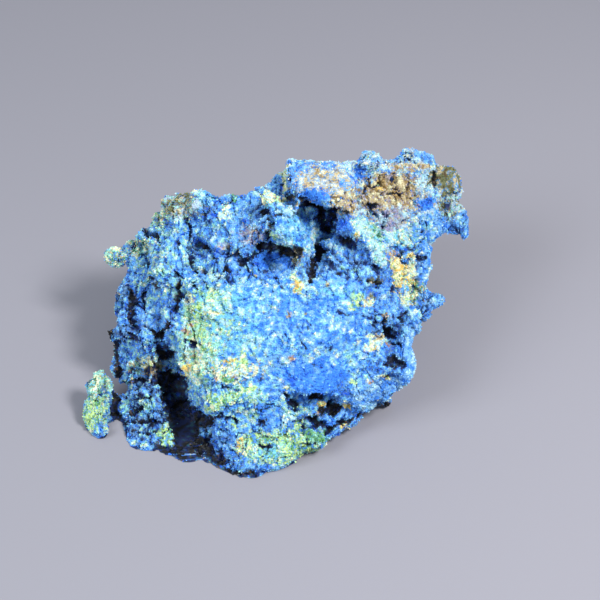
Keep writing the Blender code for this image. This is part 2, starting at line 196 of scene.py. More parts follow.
LEFT_PATCHES = [
    ("green", -3.4, -2.4, 2.4, 3.6, 0.45),
    ("green", -4.6, -2.2, 1.5, 3.4, 0.9),
    ("green", -3.6, 0.2, 1.3, 1.0, 0.82),
    ("lime", -4.7, -2.0, 0.7, 2.4, 0.85),
    ("cream", -4.9, -3.6, 0.6, 1.4, 0.68),
    ("cream", -2.4, -4.2, 1.8, 0.9, 0.56),
    ("lime", -2.8, -6.0, 1.5, 0.5, 0.88),
    ("rust", -5.3, -1.5, 0.35, 0.35, 0.68),
    ("frost", -5.2, -2.8, 0.4, 0.4, 0.88),
    ("gold", -5.4, -4.3, 0.25, 0.5, 0.88),
    ("lime", -4.8, -0.5, 0.7, 0.5, 0.82),
    ("gold", -3.6, -0.65, 0.4, 0.2, 0.88),
    ("gold", -3.9, -2.7, 0.2, 0.2, 0.88),
    ("cream", -5.1, 0.4, 0.3, 0.3, 0.82),
    ("lime", -3.8, 0.6, 0.4, 0.4, 0.88),
    ("green", -3.7, 1.8, 0.35, 0.4, 0.82),
    ("green", -7.0, 2.0, 0.4, 0.35, 0.88),
    ("frost", -3.4, 4.9, 0.5, 0.35, 0.88),
    ("cream", -3.0, 5.8, 0.35, 0.6, 0.82),
    ("leaf", -2.3, 6.7, 0.25, 0.35, 0.88),
    ("cream", -2.2, 3.2, 0.25, 0.25, 0.82),
    ("mauve", -1.2, 4.3, 0.9, 0.7, 0.82),
    ("mauve", -2.9, 3.7, 0.4, 0.25, 0.76),
    ("lichen", -5.8, 6.4, 1.6, 1.2, 1.0),
    ("crust", -5.0, 7.2, 0.4, 0.25, 0.88),
    ("bright", -4.0, 6.8, 0.6, 0.6, 0.88),
    ("moss", -7.0, 5.3, 0.7, 0.6, 0.9),
    ("moss", -8.4, 3.7, 0.8, 0.7, 0.9),
    ("moss", -10.0, 3.0, 1.0, 0.9, 0.82),
    ("slate", -9.4, 0.7, 0.9, 0.9, 0.82),
    ("slate", -9.3, -1.6, 0.9, 1.4, 0.82),
    # Painted shade on a shadowed knob at the left edge: the darkest patch here
    ("dark", -10.6, -1.9, 0.7, 0.7, 0.88),
    ("olive", -7.6, -4.0, 0.9, 0.8, 0.76),
    ("cream", -7.6, -3.6, 0.8, 0.4, 0.6),
    ("green", -11.0, -5.0, 1.2, 2.2, 0.88),
    ("moss", -10.8, -4.9, 0.8, 0.9, 0.76),
    ("lime", -11.1, -6.8, 0.9, 1.2, 0.97),
    ("slate", -8.0, -6.4, 1.4, 2.4, 0.9),
    ("green", -7.8, -6.3, 0.6, 0.8, 0.76),
    ("lime", -6.5, -8.3, 0.7, 1.0, 0.94),
    ("pale", -1.0, -6.4, 2.0, 1.6, 0.6),
    ("green", -1.8, -6.2, 2.2, 1.4, 0.45),
    ("lime", -2.7, -4.65, 0.6, 0.25, 0.88),
    ("gold", -2.6, -3.55, 0.65, 0.18, 0.88),
    ("rust", -3.5, -4.5, 0.2, 0.2, 0.88),
    ("rust", -2.3, -4.5, 0.25, 0.18, 0.68),
    ("lime", -1.65, -3.4, 0.28, 0.7, 0.88),
]
UPPER_PATCHES = [
    ("blue", 3.2, 4.9, 2.6, 1.0, 0.68),
    ("frost", 2.7, 9.15, 1.6, 0.3, 0.94),
    ("cream", 0.75, 7.9, 0.3, 1.1, 0.94),
    ("lobe", 1.5, 8.0, 0.4, 1.0, 0.94),
    ("hood", 3.3, 7.7, 2.0, 1.15, 1.0),
    ("rust", 1.9, 7.6, 0.35, 0.3, 0.6),
    ("gold", 3.2, 8.1, 0.25, 0.15, 0.76),
    ("deep", 3.3, 8.6, 0.6, 0.14, 0.88),
    ("lobe", 4.4, 7.4, 0.25, 0.45, 0.88),
    ("deep", 5.35, 8.1, 0.45, 0.75, 1.0),
    ("deep", 2.6, 6.7, 1.1, 0.5, 0.97),
    ("crust", 4.6, 6.4, 1.0, 1.0, 0.9),
    ("mauve", 5.6, 6.2, 0.4, 0.7, 0.82),
    ("cream", 0.0, 6.6, 0.9, 0.5, 0.94),
    ("green", -0.2, 6.1, 0.4, 0.25, 0.88),
    ("bright", 1.4, 4.6, 1.3, 1.4, 0.94),
    ("deep", 0.6, 5.05, 0.35, 0.2, 0.88),
    ("lime", 0.15, 4.2, 0.2, 0.25, 0.88),
    # Painted shade in the cavity under the tongue, in the pockets and in small holes: the darkest patches in
    # the next lines, and the olive one at the cavity's right side
    ("painted_shade", 0.6, 2.9, 1.0, 0.7, 0.68),
    ("deep", 0.6, 2.8, 0.7, 0.45, 0.88),
    ("lobe", 0.6, 2.1, 0.6, 0.4, 0.88),
    ("deep", -0.5, 2.7, 0.4, 0.6, 0.88),
    ("olive", 1.6, 2.8, 0.4, 0.55, 0.76),
    ("slate", 2.15, 2.4, 0.3, 0.8, 0.82),
    ("painted_shade", 3.4, 5.1, 0.8, 0.8, 0.88),
    ("deep", 4.6, 5.0, 0.7, 0.35, 0.88),
    ("painted_shade", 4.8, 3.7, 0.8, 0.5, 0.91),
    ("slate", 5.0, 2.3, 1.3, 0.9, 0.68),
    ("painted_shade", 3.6, 2.5, 0.35, 0.4, 0.82),
    ("painted_shade", 4.4, 2.0, 0.25, 0.25, 0.82),
    ("painted_shade", 6.5, 2.2, 0.4, 0.35, 0.88),
    ("olive", 6.4, 1.45, 0.4, 0.25, 0.76),
    ("green", 5.8, 4.8, 0.7, 0.6, 0.88),
    ("gold", 5.3, 4.3, 0.2, 0.2, 0.88),
    ("crust", 7.4, 6.9, 2.0, 1.7, 1.0),
    ("gold", 6.6, 7.4, 0.35, 0.3, 0.82),
    ("mauve", 7.6, 5.3, 1.15, 0.95, 0.95),
    ("frost", 8.0, 4.1, 1.1, 0.6, 0.94),
    ("cloud", 8.7, 5.2, 0.5, 0.8, 0.82),
    ("rust", 7.5, 3.0, 0.4, 0.35, 0.68),
    ("cream", 8.6, 1.9, 0.7, 1.0, 0.85),
    ("moss", 8.9, 1.0, 0.7, 0.8, 0.8),
    ("gold", 7.8, 2.0, 0.5, 1.25, 0.97),
    ("gold", 8.7, 1.4, 0.4, 0.3, 0.88),
    ("cream", 8.5, 0.4, 0.7, 0.5, 0.88),
    ("bright", 8.4, 1.1, 0.35, 0.35, 0.76),
    ("gold", 8.75, 2.95, 0.3, 0.2, 0.82),
    ("cloud", 6.6, 8.8, 2.6, 0.7, 0.91),
    ("lobe", 7.0, 8.5, 0.6, 0.35, 0.82),
    ("deep", 6.6, 9.75, 0.9, 0.2, 0.76),
    ("cloud", 9.6, 7.8, 0.6, 0.9, 0.85),
    ("crust", 8.4, 8.6, 1.8, 0.3, 0.5),
    ("crust", 9.3, 8.65, 0.8, 0.25, 0.82),
    ("rust", 8.75, 9.5, 0.25, 0.3, 0.88),
    ("lobe", 9.5, 9.4, 0.6, 0.4, 0.94),
    ("deep", 9.7, 6.3, 0.6, 0.4, 0.94),
    ("pale", 10.0, 3.6, 0.9, 2.6, 0.91),
    ("lobe", 10.8, 5.3, 0.6, 0.8, 0.94),
    ("green", 9.75, 4.9, 0.25, 0.3, 0.76),
    ("olive", 10.9, 7.9, 1.3, 1.1, 1.0),
    ("lichen", 11.2, 6.2, 1.0, 1.0, 0.9),
    ("blue", 12.0, 5.2, 0.5, 0.8, 0.88),
]
PATCHES = BROAD_FACE_PATCHES + RIGHT_EDGE_PATCHES + LOWER_EDGE_PATCHES + LEFT_PATCHES + UPPER_PATCHES

# Crevices, holes and ridges on that side: mix, share, half width, depth (below nothing for a ridge),
# and the points (across, rise) that they run through. The crevices and holes take the darkest mixes,
# as painted shade.
UPPER_LINES = [
    ("dark", 0.9, 0.12, 0.26, [(0.9, 6.75), (1.5, 6.8), (2.2, 6.25), (3.0, 6.05)]),
    ("painted_shade", 0.6, 0.08, 0.11, [(1.12, 9.0), (1.12, 7.2)]),
    ("dark", 0.9, 0.12, 0.26, [(3.9, 5.95), (4.15, 5.9)]),
    ("dark", 0.9, 0.12, 0.26, [(4.5, 5.7), (4.75, 5.7)]),
    ("dark", 0.9, 0.10, 0.26, [(0.2, 5.6), (0.9, 5.7)]),
    ("dark", 0.9, 0.09, 0.22, [(1.1, 5.5), (1.6, 5.7)]),
    ("dark", 0.9, 0.13, 0.35, [(-0.5, 5.8), (-0.2, 5.2), (-0.1, 4.7), (-0.3, 4.0)]),
    ("frost", 0.9, 0.14, -0.10, [(0.9, 5.9), (1.5, 6.15), (2.0, 5.95), (2.6, 5.7)]),
    ("frost", 0.9, 0.12, -0.06, [
        (0.4, 3.75), (0.9, 3.7), (1.4, 3.8), (1.7, 3.4), (2.2, 3.3), (2.6, 3.6), (2.65, 4.6),
    ]),
    ("dark", 1.0, 0.27, 0.30, [(-0.9, 3.6), (0.0, 3.45), (1.6, 3.2)]),
    ("dark", 1.0, 0.17, 0.38, [(3.0, 4.0), (2.8, 3.2), (2.6, 2.2), (2.4, 1.6)]),
    ("dark", 0.9, 0.20, 0.30, [(3.0, 5.4), (3.3, 4.7)]),
    ("painted_shade", 0.7, 0.20, 0.20, [(4.3, 3.9), (5.0, 3.5)]),
    ("frost", 0.95, 0.48, -0.15, [(5.5, 5.1), (6.0, 4.6), (6.6, 3.8), (6.9, 2.8)]),
    ("leaf", 0.9, 0.13, 0.10, [(6.4, 4.8), (6.7, 4.5), (6.9, 4.0)]),
    ("painted_shade", 0.7, 0.14, 0.20, [(6.3, 2.4), (6.7, 2.1)]),
    ("dark", 0.7, 0.11, 0.22, [(5.9, 1.5), (6.8, 1.35)]),
    ("dark", 0.9, 0.09, 0.26, [(6.0, 7.9), (6.0, 7.5), (5.8, 6.9)]),
    ("dark", 0.8, 0.09, 0.15, [(6.8, 7.0), (7.05, 6.95)]),
    ("dark", 0.8, 0.10, 0.15, [(7.2, 6.85), (7.8, 6.8)]),
    ("dark", 0.9, 0.09, 0.26, [(7.9, 7.65), (7.95, 7.75)]),
    ("dark", 0.9, 0.16, 0.30, [(6.15, 6.3), (6.5, 6.05)]),
    ("dark", 0.7, 0.08, 0.22, [(8.0, 5.1), (8.4, 5.35)]),
    ("painted_shade", 0.8, 0.14, 0.22, [(8.5, 3.5), (9.0, 3.35)]),
    ("painted_shade", 0.8, 0.16, 0.22, [(9.2, 2.8), (9.5, 2.9)]),
    ("dark", 0.8, 0.12, 0.19, [(10.1, 8.3), (10.15, 7.2)]),
]
LEFT_LINES = [
    ("painted_shade", 0.75, 0.12, 0.35, [
        (-5.4, 5.4), (-5.2, 4.8), (-5.0, 3.6), (-4.9, 2.9), (-4.7, 2.4), (-4.2, 2.1),
    ]),
    ("painted_shade", 0.8, 0.12, 0.34, [(-4.4, 3.7), (-4.0, 3.3), (-3.7, 2.9), (-3.4, 2.75)]),
    ("painted_shade", 0.8, 0.17, 0.26, [(-2.0, 2.7), (-1.1, 3.0)]),
    ("painted_shade", 0.7, 0.11, 0.30, [(-2.9, 2.3), (-2.6, 2.1)]),
    ("painted_shade", 0.7, 0.11, 0.30, [(-2.9, 1.8), (-2.5, 1.5)]),
    ("dark", 0.85, 0.16, 0.41, [(-6.0, 1.9), (-5.9, 1.2), (-5.8, 0.6), (-6.0, -0.1)]),
    ("painted_shade", 0.7, 0.09, 0.30, [(-5.5, 0.8), (-5.4, 0.3)]),
    ("painted_shade", 0.7, 0.12, 0.30, [(-7.4, 4.3), (-7.2, 3.8)]),
    ("painted_shade", 0.7, 0.12, 0.30, [(-7.9, 3.0), (-7.8, 2.3)]),
    ("dark", 0.9, 0.17, 0.38, [(-8.0, 4.6), (-7.6, 4.2)]),
    ("painted_shade", 0.8, 0.12, 0.30, [(-8.0, 0.6), (-8.0, -0.4)]),
    ("dark", 0.8, 0.20, 0.38, [(-8.8, 0.8), (-8.8, -1.0)]),
    ("painted_shade", 0.7, 0.09, 0.26, [(-5.9, 4.1), (-5.8, 3.6)]),
    ("dark", 0.6, 0.12, 0.26, [(-7.5, 1.8), (-7.2, 1.0)]),
    ("painted_shade", 0.7, 0.08, 0.15, [(-0.7, 2.2), (0.1, 1.6), (0.8, 1.0)]),
    ("painted_shade", 0.6, 0.08, 0.11, [(-0.5, 1.5), (0.1, 0.8)]),
    ("dark", 0.85, 0.16, 0.38, [(-7.8, -1.3), (-7.0, -2.1), (-6.6, -1.2)]),
    ("painted_shade", 0.7, 0.11, 0.30, [(-8.6, -1.3), (-8.3, -1.8)]),
    ("painted_shade", 0.7, 0.11, 0.30, [(-9.0, -2.1), (-8.1, -2.4)]),
    ("painted_shade", 0.8, 0.12, 0.30, [(-9.0, -4.2), (-8.6, -4.1)]),
    ("dark", 0.8, 0.14, 0.30, [(-8.9, -6.7), (-8.3, -6.6)]),
    ("painted_shade", 0.7, 0.09, 0.26, [(-8.4, -5.2), (-8.4, -5.7)]),
    ("painted_shade", 0.7, 0.12, 0.30, [(-5.4, -2.3), (-4.8, -2.7)]),
    ("dark", 0.9, 0.20, 0.38, [(-7.1, -2.9), (-6.8, -3.1)]),
    ("dark", 0.9, 0.20, 0.38, [(-6.8, -3.4), (-6.3, -3.2)]),
    ("dark", 1.0, 0.22, 0.38, [(-9.75, -2.6), (-9.7, -8.4)]),
    ("dark", 0.8, 0.09, 0.30, [(-9.2, -4.9), (-8.3, -4.7), (-7.6, -4.9)]),
    ("dark", 0.8, 0.09, 0.30, [(-9.0, -5.9), (-8.2, -6.05), (-7.4, -5.8)]),
    ("dark", 0.8, 0.09, 0.30, [(-8.9, -7.3), (-8.0, -7.2), (-7.3, -7.5)]),
    ("dark", 0.8, 0.08, 0.26, [(-8.6, -7.9), (-7.6, -8.0)]),
    ("dark", 0.8, 0.12, 0.30, [(-7.4, -3.6), (-7.0, -4.4)]),
    ("dark", 1.0, 0.75, 0.40, [(-6.4, -4.8), (-6.1, -6.2), (-5.6, -7.2)]),
    ("dark", 1.0, 0.85, 0.30, [(-5.4, -7.2), (-5.3, -8.4), (-4.7, -9.3), (-3.9, -9.9)]),
    ("dark", 1.0, 0.31, 0.22, [(-4.9, -7.0), (-3.9, -7.3)]),
    ("dark", 1.0, 0.30, 0.00, [(-7.2, -8.95), (-6.2, -9.35), (-5.4, -9.8)]),
    ("dark", 1.0, 0.23, 0.15, [(-5.6, -9.4), (-5.2, -9.9), (-4.4, -10.3), (-3.2, -10.6), (-1.2, -10.7)]),
]
LOWER_LINES = [
    ("painted_shade", 0.7, 0.09, 0.26, [(-3.2, -5.25), (-2.3, -5.35)]),
    ("lime", 0.8, 0.25, -0.05, [(-1.1, -5.1), (-2.5, -5.8), (-4.0, -6.5)]),
    ("painted_shade", 0.8, 0.12, 0.30, [(-3.3, -7.0), (-2.2, -7.3)]),
    ("painted_shade", 0.7, 0.09, 0.22, [(-0.9, -7.5), (-0.6, -7.5)]),
    ("painted_shade", 0.7, 0.09, 0.26, [(-0.9, -8.8), (0.0, -9.0)]),
    ("painted_shade", 0.7, 0.11, 0.09, [(4.1, -0.45), (4.9, -0.65)]),
    ("painted_shade", 0.7, 0.10, 0.09, [(5.6, -0.75), (6.1, -1.0)]),
    ("painted_shade", 0.6, 0.08, 0.08, [(1.5, -1.3), (1.7, -1.5)]),
    ("painted_shade", 0.6, 0.08, 0.08, [(2.2, -1.3), (2.25, -1.5)]),
    ("painted_shade", 0.6, 0.08, 0.08, [(0.9, -1.9), (1.3, -2.1)]),
    ("painted_shade", 0.7, 0.08, 0.11, [(1.8, -2.3), (2.2, -2.8)]),
    ("painted_shade", 0.7, 0.09, 0.11, [(3.3, -2.8), (3.8, -2.8)]),
    ("painted_shade", 0.7, 0.11, 0.09, [(5.4, -2.85), (5.9, -3.0)]),
    ("painted_shade", 0.6, 0.09, 0.09, [(2.5, -3.8), (3.1, -3.9)]),
    ("painted_shade", 0.6, 0.08, 0.09, [(1.0, -4.4), (1.6, -4.8)]),
    ("dark", 0.72, 0.13, 0.30, [(7.9, -0.75), (8.5, -0.6)]),
    ("dark", 0.72, 0.11, 0.26, [(8.1, -0.6), (8.2, -1.3)]),
    ("dark", 0.76, 0.17, 0.34, [(7.1, -1.1), (7.2, -1.8)]),
    ("dark", 0.64, 0.09, 0.22, [(6.8, -2.1), (7.5, -1.9)]),
    ("dark", 0.76, 0.25, 0.45, [(7.6, -3.5), (8.1, -3.7)]),
    ("dark", 0.64, 0.14, 0.30, [(7.1, -3.8), (7.5, -3.9)]),
    ("dark", 0.72, 0.16, 0.38, [(0.9, -5.8), (1.2, -6.1), (1.7, -6.3)]),
    ("dark", 0.72, 0.16, 0.38, [(2.4, -5.9), (3.1, -5.85)]),
    ("dark", 0.76, 0.22, 0.41, [(3.0, -6.6), (3.8, -6.7)]),
    ("dark", 0.76, 0.20, 0.41, [(3.8, -6.2), (4.3, -6.5), (4.0, -6.9)]),
    ("dark", 0.76, 0.22, 0.41, [(2.6, -7.0), (2.9, -7.5)]),
    ("dark", 0.72, 0.12, 0.30, [(5.0, -7.0), (4.3, -7.4), (3.7, -7.9)]),
    ("dark", 0.72, 0.12, 0.30, [(3.3, -7.5), (3.6, -7.9)]),
    ("painted_shade", 0.8, 0.09, 0.22, [(1.3, -7.3), (1.8, -7.4)]),
    ("dark", 0.80, 0.16, 0.30, [(5.4, -6.85), (6.2, -6.8), (6.6, -6.5), (7.2, -6.4), (7.8, -5.95)]),
    ("dark", 0.72, 0.10, 0.22, [(7.6, -5.85), (8.0, -5.6), (8.4, -5.7)]),
]
LINES = UPPER_LINES + LEFT_LINES + LOWER_LINES

# How many times its size a patch or a line reaches, how much of it is full, and how many times its
# size a line's depth reaches
RIM = 1.3
FULL = 2.0
CARVED_RIM = 1.8

# The sides that the camera doesn't see: mixes and how much of them each covers, size, contrast and
# shift of their drifts, and how far a side faces the camera where they end
HIDDEN_MIXES = {"blue": 1.0, "pale": 0.7, "green": 0.6, "crust": 0.5, "deep": 0.5, "slate": 0.4, "lime": 0.3}
HIDDEN_SIZE = 2.6
HIDDEN_CONTRAST = 9.0
HIDDEN_SHIFT = (11.3, 5.7, 3.1)
HIDDEN_FACING = (-0.25, 0.05)

# Painted shade near the floor: the rock is darkened from full to none between these heights in
# millimetres, with which mix, and the most of it
FLOOR_SHADE_HEIGHTS = (0.05, 0.25)
FLOOR_SHADE_MIX = "painted_shade"
FLOOR_SHADE_SHARE = 0.6

# Raggedness of the patches' edges: size and reach, coarse and fine
RAGGED = [(0.9, 0.26), (0.3, 0.14)]

# Which colour of its mix a grain takes: the palest on high places and the darkest low down, as painted
# light and shade, alike in clusters of these sizes and strengths, and partly by chance
CLUSTER_SIZES = [(0.9, 0.4), (0.32, 0.9)]
CLUSTER_SPREAD = 0.21
LONE_SHARE = 0.9
PAINTED_RELIEF_SHARE = 0.45
HEIGHT_MIDDLE = -0.09
HEIGHT_SPREAD = 0.1
MOST_RAISED = 2
STEEPNESS = 1.7

# Creases and cracks: relief in millimetres at which the skin is deep in one and out of it, and the
# mix of painted shade that is put there, with its share
SUNK = (-0.42, -0.25)
CREASE_SHADE_MIX = "painted_shade"
CREASE_SHADE_SHARE = 0.8

# The skin: points this near to each other are one, each flat triangle of the solid is cut this many
# times along its edges and smoothed, and where it faces the camera by more than this cosine it is cut
# once more
MERGED_WITHIN = 0.001
SKIN_CUTS = 2
SMOOTHING = 5
SMOOTH_SHARE = 0.5
FINE_FACING = 0.22
LAST_SMOOTHING = 2

# Relief of the skin, in millimetres: size and height of the lumps, how many steps finer they go, their
# usual level, how far they are drawn out along the rise, and the cracks
LUMPS = [(1.25, 0.17), (0.45, 0.07)]
LUMP_STEPS = 2
LUMP_MIDDLE = 0.38
DRAWN_OUT = 0.3
CRACK_SIZE = 1.4
CRACK_WIDTH = 0.03
CRACK_DEPTH = 0.4

# Angular chips: size, step between neighbours, tilt of their faces, width and depth of the creases
CHIPS = [(1.1, 0.1, 0.24, 0.06, 0.26), (0.5, 0.05, 0.2, 0.09, 0.13)]
CHIP_MIX = 5.3
HALF = Vector((0.5, 0.5, 0.5))

# Little holes in the porous areas: how far apart they are, how deep, and how wide for that
PORE_SIZE = 0.42
PORE_DEPTH = 0.35
PORE_WIDTH = 0.5

# The most that the skin sinks in and stands out
DEEPEST = 0.8
HIGHEST = 0.2

# Areas with more or less relief than elsewhere: across, rise, half width, half height, share of it.
# The porous areas have no share.
RELIEF_AREAS = [
    (1.5, -2.0, 5.6, 4.4, 0.5),
    (2.8, -4.6, 2.0, 1.2, 0.6),
    (8.8, -3.9, 0.9, 2.0, 0.25),
    (-7.6, -6.0, 2.6, 3.6, 1.1),
    (-6.2, 2.6, 2.6, 3.6, 1.0),
    (3.3, 7.8, 2.4, 1.4, 0.3),
    (1.5, 4.5, 1.4, 1.2, 0.6),
    (10.8, 7.9, 0.9, 1.0, 0.1),
]
AREA_RIM = (0.7, 1.2)
POROUS_AREAS = [(7.6, 6.6, 1.9, 1.8), (4.4, 6.6, 1.2, 1.0)]

# Painted shade: the skin between the grains is darkened all over, and most in the hollows:
# how dark at which relief in millimetres
CRUST_HEIGHTS = (-0.5, -0.1)
CRUST_PAINTED_SHADES = (0.4, 0.9)

# Heights in millimetres below which the skin stays flat and above which its relief is full. Between
# them its relief turns sideways, by this much at most.
UNDERSIDE = 0.02
CALM_BELOW = 0.3
RIM_RELIEF = 0.12

# Grains: how many in all, the most in one piece, how much more densely they grow on the broad face's
# side and in the creases, and the lowest that they grow
GRAINS = 133000
MOST_IN_PIECE = 33000
FRONT_GROWTH = 1.5
SUNK_GROWTH = 0.25
LOWEST_GRAIN = 0.05

# Picks the ragged edges and the places of the grains, so that they are the same each time
SEED = 7

# Kinds of grain: their colours, half width and length in millimetres, how far they lean from upright,
# how much their sizes differ, roughness and sheen
KINDS = {
    # The first kind holds the deep blue grains and also the near-black ones, which are painted shadow
    "deep_azurite_and_painted_shade_crystals": (("painted_shadow_black", "navy", "royal"), 0.038, 0.11, 0.45, 0.3, 0.36, 0.0),
    "azurite_crystals": (("azure", "slate"), 0.038, 0.11, 0.45, 0.3, 0.38, 0.0),
    "sky_azurite_crystals": (("sky", "cyan"), 0.038, 0.11, 0.5, 0.3, 0.42, 0.05),
    "pale_azurite_bloom": (("ice", "cloud", "mauve"), 0.038, 0.10, 0.55, 0.3, 0.5, 0.05),
    "malachite_tufts": (("mint", "lime", "leaf", "olive", "teal"), 0.038, 0.11, 0.5, 0.3, 0.6, 0.05),
    "limonite_crumbs": (
        ("cream", "tan", "ochre", "brown", "gold", "rust"), 0.048, 0.09, 0.8, 0.35, 0.75, 0.0
    ),
}

# How much the grains' shades differ, how thick they are for their width, and how much of one is buried
SHADE_SPREAD = 0.1
GRAIN_FLATNESS = (0.6, 1.0)
BURIED = 0.35

# A grain: a ring of three corners round its axis, between a buried root and a tip, with its faces, the
# places of its corners when laid out flat, and how uneven it is
GRAIN_POINTS = np.array([(0, 0, -1.0), (1, 0, 0.1), (-0.5, 0.87, 0.1), (-0.5, -0.87, 0.1), (0, 0, 1.0)])
GRAIN_FACES = np.array([(0, 2, 1), (0, 3, 2), (0, 1, 3), (4, 1, 2), (4, 2, 3), (4, 3, 1)])
GRAIN_MAP = np.array([(0, -1.0), (1, 0), (-1, 0), (0.3, 0.1), (0, 1.0)])
GRAIN_UNEVENNESS = 0.25

# The square cells in which faces are laid out: how much of one a grain takes, and its two halves
CELL_FILL = 0.42
CELL_HALVES = [((0.04, 0.04), (0.88, 0.04), (0.04, 0.88)), ((0.96, 0.96), (0.12, 0.96), (0.96, 0.12))]

# Surface of the minerals: shine, fine mottles with their strongest levels, how much they change the
# roughness, and the strength and height in metres of their bumps
SPECULAR = 0.4
MOTTLE_DETAIL = 3
MOTTLE_LEVELS = (0.35, 0.65)
ROUGHNESS_SPREAD = 0.1
BUMP_STRENGTH = 0.4
BUMP_HEIGHT = 0.00003

# Roughness and sheen of the skin, and how fine the mottles of the skin and the grains are and how far
# they darken and lighten them
CRUST_ROUGHNESS = 0.7
CRUST_SHEEN = 0.0
CRUST_MOTTLES = 9000
CRUST_MOTTLE_SHADES = (0.6, 1.2)
GRAIN_MOTTLES = 14000
GRAIN_MOTTLE_SHADES = (0.8, 1.15)


def to_face(points):
    """Points in millimetres of the part's frame as across, rise and out."""
    return (points - FACE_START) @ FACE_AXES


def from_face(point):
    """A point given as across, rise and out, in metres of the part's frame."""
    return Vector((FACE_START + FACE_AXES @ np.asarray(point)) * MM)


def as_seen(points):
    """Across and rise of points as the camera sees them, on the plane through the point it looks at."""
    placed = to_face(points)
    nearer = CAMERA_DISTANCE / (CAMERA_DISTANCE + LOOKED_AT[2] - placed[:, 2])
    return LOOKED_AT[:2] + (placed[:, :2] - LOOKED_AT[:2]) * nearer[:, None]


def linear(colour):
    """An sRGB colour from 0 to 255 as linear light."""
    share = np.asarray(colour) / 255
    return np.where(share <= 0.04045, share / 12.92, ((share + 0.055) / 1.055) ** 2.4)


def falloff(distance):
    """1 in the middle and 0 from a distance of 1, with a rounded shoulder."""
    inside = np.clip(1 - distance, 0, 1)
    return inside * inside * (3 - 2 * inside)


def reach(seen, across, rise, wide, high):
    """How far out points lie in an area: 0 in its middle and 1 at its rim."""
    return np.hypot((seen[:, 0] - across) / wide, (seen[:, 1] - rise) / high)


def line_distance(seen, route):
    """How far points lie from a line that runs through the points of a route."""
    nearest = np.full(len(seen), np.inf)
    for start, end in zip(route[:-1], route[1:]):
        start, run = np.array(start), np.subtract(end, start)
        share = np.clip((seen - start) @ run / (run @ run), 0, 1)
        nearest = np.minimum(nearest, np.linalg.norm(seen - start - share[:, None] * run, axis=1))
    return nearest


def noise_vectors(points, size):
    """A smoothly changing direction and length at each point."""
    return np.array([noise.noise_vector(Vector(p) / size) for p in points])


def ragged(points):
    """Points as the camera sees them, shifted about so that what is placed by them has ragged edges."""
    return as_seen(points) + sum(far * noise_vectors(points, size)[:, :2] for size, far in RAGGED)


def front_share(normals):
    """1 on the side that the camera faces, 0 on the other sides, and between them on the turn."""
    return np.interp(normals @ OUT, HIDDEN_FACING, (0, 1))


def linear_palette():
    return np.array([linear(colour) for colour in PALETTE.values()])


def shares_of(mix):
    """A mix as a share for each colour of the palette."""
    shares = np.array([MIXES[mix].get(colour, 0) for colour in COLOURS], float)
    return shares / shares.sum()


def hidden_shares(points):
    """Shares of the colours on the sides that the camera doesn't see, in broad drifts."""
    drifts = []
    for i, (mix, cover) in enumerate(HIDDEN_MIXES.items()):
        apart = Vector([shift * i for shift in HIDDEN_SHIFT])
        height = np.array([noise.noise(Vector(p) / HIDDEN_SIZE + apart) for p in points])
        drifts.append(cover * np.exp(HIDDEN_CONTRAST * height))
    drifts = np.array(drifts)
    return (drifts / drifts.sum(0)).T @ np.array([shares_of(mix) for mix in HIDDEN_MIXES])


def colour_shares(points, normals):
    """For each point of the skin, the shares of the palette's colours among the grains there."""
    seen = ragged(points)
    shares = np.tile(shares_of("blue"), (len(points), 1))
    areas = [(mix, share, reach(seen, *area)) for mix, *area, share in PATCHES]
    areas += [(mix, share, line_distance(seen, route) / wide) for mix, share, wide, _, route in LINES]
    for mix, share, distance in areas:
        grown = share * np.minimum(FULL * falloff(distance / RIM), 1)
        shares += grown[:, None] * (shares_of(mix) - shares)
    front = front_share(normals)[:, None]
    shares = front * shares + (1 - front) * hidden_shares(points)
    # Painted shade along the foot of the rock, where it meets the floor
    floor_shade = FLOOR_SHADE_SHARE * np.interp(points[:, 2], FLOOR_SHADE_HEIGHTS, (1, 0))[:, None]
    return shares + floor_shade * (shares_of(FLOOR_SHADE_MIX) - shares)


def sunk_share(height):
    """1 deep in the creases and cracks, and 0 outside them."""
    return np.interp(height, SUNK, (1, 0))


def pick_colours(points, normals, height, lone):
    """The place in the palette of the colour at each point, from its clusters, height and lone chance.
    The height paints light and shade: paler on high places, darker low down, and painted shade in creases.
    """
    # Painted light and shade: raised points lean to the paler colours, sunk ones to the darker
    painted_relief = np.clip((height - HEIGHT_MIDDLE) / HEIGHT_SPREAD, -MOST_RAISED, MOST_RAISED)
    drift = LONE_SHARE * lone + PAINTED_RELIEF_SHARE * painted_relief
    for size, share in CLUSTER_SIZES:
        drift += share / CLUSTER_SPREAD * np.array([noise.noise(Vector(p) / size) for p in points])
    parts = np.array([LONE_SHARE, PAINTED_RELIEF_SHARE, *(share for _, share in CLUSTER_SIZES)])
    chance = 1 / (1 + np.exp(-STEEPNESS * drift / np.linalg.norm(parts)))
    shares = colour_shares(points, normals)
    # Painted shade: the creases and cracks take the dark mix
    shares += CREASE_SHADE_SHARE * sunk_share(height)[:, None] * (shares_of(CREASE_SHADE_MIX) - shares)
    passed = shares.cumsum(1) < chance[:, None]
    return passed.sum(1).clip(0, len(COLOURS) - 1)


